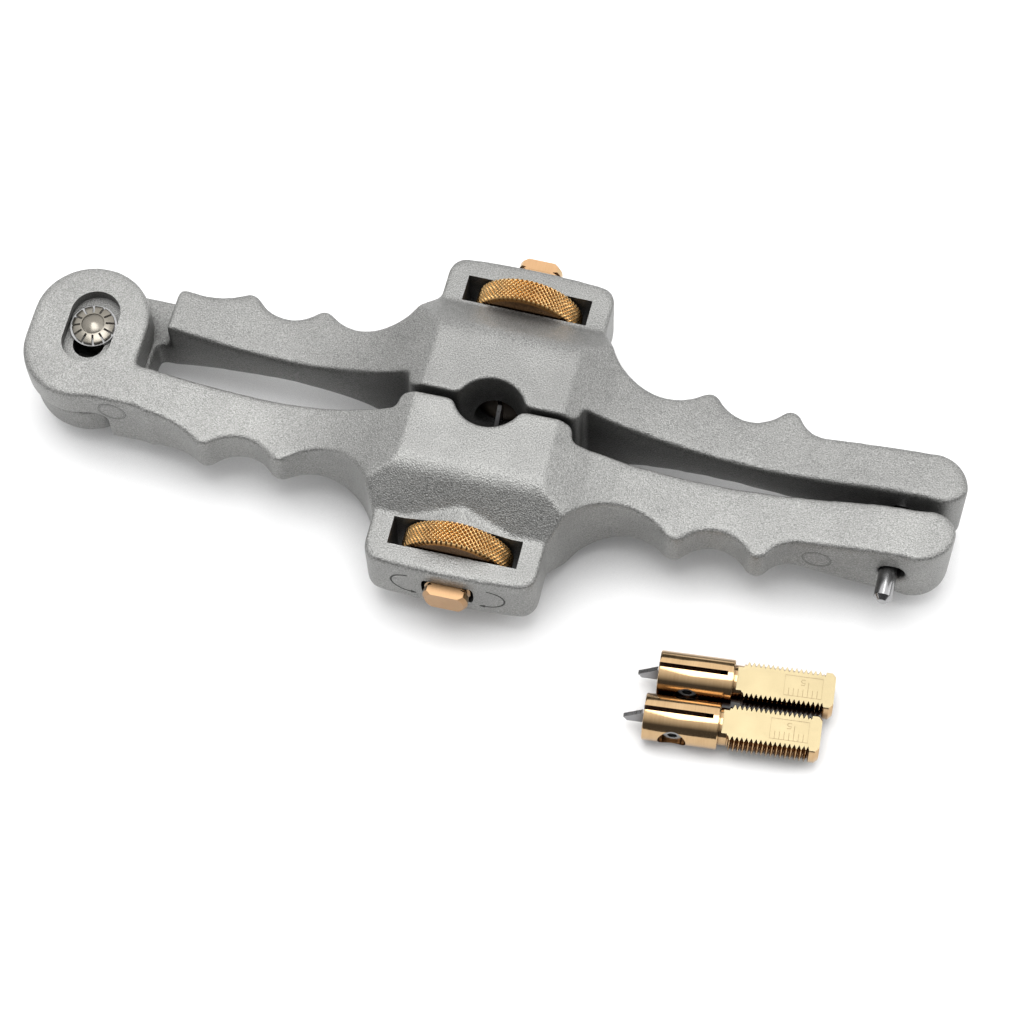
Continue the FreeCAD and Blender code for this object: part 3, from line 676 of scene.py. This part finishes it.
def lathe(name, profile, around=72):
    """Closed turned piece from (radius, height) pairs in millimetres, bottom to top, both ends on the axis."""
    bm = bmesh.new()
    rings = [[bm.verts.new((r * math.cos(2 * math.pi * k / around) * MM, r * math.sin(2 * math.pi * k / around) * MM,
                            z * MM)) for k in range(around)] for r, z in profile[1:-1]]
    low = bm.verts.new((0, 0, profile[0][1] * MM))
    high = bm.verts.new((0, 0, profile[-1][1] * MM))
    for p, q in zip(rings, rings[1:]):
        for k in range(around):
            bm.faces.new((p[k - 1], p[k], q[k], q[k - 1]))
    for k in range(around):
        bm.faces.new((low, rings[0][k], rings[0][k - 1]))
        bm.faces.new((high, rings[-1][k - 1], rings[-1][k]))
    return from_bmesh(name, bm)


pin = lathe("pivot_pin_turned", [(0, -LUG_Z), (PIN_R, -LUG_Z), (PIN_R, 7.9), (2.25, 8.1), (0.3, 8.68), (0, 8.68)])
star = lathe("star_washer_slotted", [(0, 7.02), (4.55, 7.02), (4.7, 7.1), (4.7, 7.5), (4.55, 7.62),
                                     (2.6, 8.0), (0, 8.0)])
cut(star, prism("hole", ring_points(0, 0, PIN_R + 0.02, 48), 5, 10))
for i in range(STAR_TEETH):
    slot = prism("tooth_gap", box_points(2.8, -0.24, 6, 0.24), 6, 9)
    slot.data.transform(Matrix.Rotation(2 * math.pi * (i + 0.5) / STAR_TEETH, 4, "Z"))
    cut(star, slot)
for ob, node in ((pin, "pivot_pin"), (star, "star_washer")):
    shade(ob)
    ob.data.materials.clear()
    ob.data.materials.append(PIN_STEEL)
    ob.matrix_world = Matrix.Translation(PIVOT)
    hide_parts(node)
    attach(ob, "rear_half")


# marks on the castings: turning arrows on the housing faces, ejector circles

def project(name, outline_sets, base, u_axis, v_axis, normal, body, s, material):
    """Ribbons drawn in a plane and laid onto the casting's surface."""
    target = CASTINGS[s]
    verts, faces = [], []
    for points, width, closed in outline_sets:
        v, f = strip(points, width, closed)
        start = len(verts)
        for p in v:
            origin = base + u_axis * (p.x * MM) + v_axis * (p.y * MM) + normal * 0.01
            hit, loc, _, _ = target.ray_cast(target.matrix_world.inverted() @ origin, -normal)
            if not hit:
                loc = origin - normal * 0.01
            verts.append(target.matrix_world @ loc + normal * 0.00002)
        faces += [tuple(start + i for i in g) for g in f]
    ob = mesh_object(name, verts, faces, material)
    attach(ob, body)
    return ob


def arc(cx, cy, r, a0, a1, steps=28):
    return [(cx + r * math.cos(math.radians(a0 + (a1 - a0) * i / steps)),
             cy + r * math.sin(math.radians(a0 + (a1 - a0) * i / steps))) for i in range(steps + 1)]


def arrow_sets(side):
    """Open loop beside the shank with an arrow head at its lower end."""
    loop = []
    for i in range(29):
        a = math.radians(95 + 185 * i / 28)
        loop.append((side * (8.2 - 4.2 * math.cos(a)), 3.65 * math.sin(a)))
    tip = (loop[-1][0] - side * 0.5, loop[-1][1] - 0.05)
    sets = [(loop, 0.40, False)]
    for rise in (0.34, 0.0, -0.34):
        sets.append(([tip, (tip[0] + side * 1.15, tip[1] + 1.3 * rise)], 0.34, False))
    return sets


for s, body in ((1, "rear_half"), (-1, "front_half")):
    m = half_matrix(s)
    normal = (m.to_3x3() @ Vector((0, 1, 0))).normalized()
    across = (m.to_3x3() @ Vector((1, 0, 0))).normalized()
    up = Vector((0, 0, 1))
    base = m @ Vector((0, FACE * MM, 0))
    name = "rear" if s > 0 else "front"
    project(name + "_turning_arrows", arrow_sets(-1) + arrow_sets(1), base, across, up, normal, body, s, MARK)


# witness rings of the ejectors on the front handles' outer walls
for name, x, z in (("ejector_ring", 74.6, 0.0), ("left_ejector_ring", -81.0, 3.7)):
    rings = [(arc(x, z, r, 0, 360, 48)[:-1], width, True) for r, width in ((3.1, 0.2), (2.75, 0.1))]
    project(name, rings, Vector((0, -FACE * MM, 0)), Vector((1, 0, 0)), Vector((0, 0, 1)), Vector((0, -1, 0)),
            "front_half", -1, WITNESS)


# floor, light, camera

def light(name, place, aim, size, energy, size_y=None):
    data = bpy.data.lights.new(name, "AREA")
    data.energy = energy
    data.size = size
    if size_y:
        data.shape = "RECTANGLE"
        data.size_y = size_y
    ob = link(bpy.data.objects.new(name, data))
    ob.location = place
    ob.rotation_mode = "QUATERNION"
    ob.rotation_quaternion = (Vector(aim) - Vector(place)).to_track_quat("-Z", "Y")
    return ob


FLOOR_Z = -BLOCK_Z * MM
floor = mesh_object("floor", [(-3, -3, FLOOR_Z), (3, -3, FLOOR_Z), (3, 3, FLOOR_Z), (-3, 3, FLOOR_Z)], [(0, 1, 2, 3)])
t = Tree("floor")
pale = t.ramp(t.noise(40, 3), (0.3, (0.74, 0.74, 0.74)), (0.7, (0.76, 0.76, 0.76)))
# painted shadow: the floor's colour and its glow darken under and near the tool
shade_under = t.painted_gap_shade(0.030, (0.55, 0.55, 0.55), 0.55, 0.15)
t.set(Base_Color=t.mix(pale, shade_under, 1.0, "MULTIPLY"), Roughness=0.85)
t.shader.inputs["Specular IOR Level"].default_value = 0.1
t.put(t.shader.inputs["Emission Color"], shade_under)
t.shader.inputs["Emission Strength"].default_value = 0.16
floor.data.materials.append(t.material)


def build_world():
    """Soft light from above and behind, which the camera sees as plain white."""
    world = bpy.data.worlds.new("world")
    bpy.context.scene.world = world
    world.use_nodes = True
    tree = world.node_tree
    tree.nodes.clear()
    new, join = tree.nodes.new, tree.links.new
    toward = new("ShaderNodeVectorMath")
    toward.operation = "DOT_PRODUCT"
    toward.inputs[1].default_value = Vector((-0.10, 0.55, 0.83)).normalized()
    join(new("ShaderNodeTexCoord").outputs["Generated"], toward.inputs[0])
    spread = new("ShaderNodeMapRange")
    spread.inputs["From Min"].default_value = -1
    join(toward.outputs["Value"], spread.inputs["Value"])
    ramp = new("ShaderNodeValToRGB")
    stops = ((0.50, (0.06, 0.06, 0.062, 1)), (0.94, (0.95, 0.95, 0.95, 1)))
    for element, (at, tone) in zip(ramp.color_ramp.elements, stops):
        element.position = at
        element.color = tone
    join(spread.outputs[0], ramp.inputs[0])
    sky, white = new("ShaderNodeBackground"), new("ShaderNodeBackground")
    join(ramp.outputs[0], sky.inputs[0])
    sky.inputs[1].default_value = 1.75
    white.inputs[0].default_value = (1, 1, 1, 1)
    white.inputs[1].default_value = 1.0
    choice = new("ShaderNodeMixShader")
    join(new("ShaderNodeLightPath").outputs["Is Camera Ray"], choice.inputs[0])
    join(sky.outputs[0], choice.inputs[1])
    join(white.outputs[0], choice.inputs[2])
    join(choice.outputs[0], new("ShaderNodeOutputWorld").inputs[0])


build_world()
light("key", (-0.05, 0.06, 0.90), (0, -0.03, 0), 0.6, 5)
light("side", (0.65, 0.15, 0.45), (0.02, -0.02, 0), 0.25, 1.2, size_y=0.6)
light("low", (-0.6, -0.35, 0.35), (0, 0, 0), 0.3, 0.4)

# camera fitted to the photo: turn, rise and roll in radians, focal length in pixels, distance and aim in mm
AL, EL, ROLL, F_PX, DIST, TX, TY = 0.275869, 1.108677, -0.048044, 2831.143, 606.7126, 9.0359, -16.5295
IMAGE, SENSOR = 1024, 36
right = Vector((math.cos(AL), math.sin(AL), 0))
back = Vector((math.sin(AL) * math.cos(EL), -math.cos(AL) * math.cos(EL), math.sin(EL)))
up = back.cross(right)
cam_right = right * math.cos(ROLL) + up * math.sin(ROLL)
cam_up = up * math.cos(ROLL) - right * math.sin(ROLL)
cam_data = bpy.data.cameras.new("camera")
cam_data.sensor_width = SENSOR
cam_data.lens = F_PX / IMAGE * SENSOR
cam = link(bpy.data.objects.new("camera", cam_data))
place = Vector((TX, TY, 0)) * MM + back * DIST * MM
cam.matrix_world = Matrix((
    (cam_right.x, cam_up.x, back.x, place.x),
    (cam_right.y, cam_up.y, back.y, place.y),
    (cam_right.z, cam_up.z, back.z, place.z),
    (0, 0, 0, 1)))
cam_data.clip_start, cam_data.clip_end = 0.01, 20
bpy.context.scene.camera = cam
bpy.context.scene.view_settings.view_transform = "Standard"
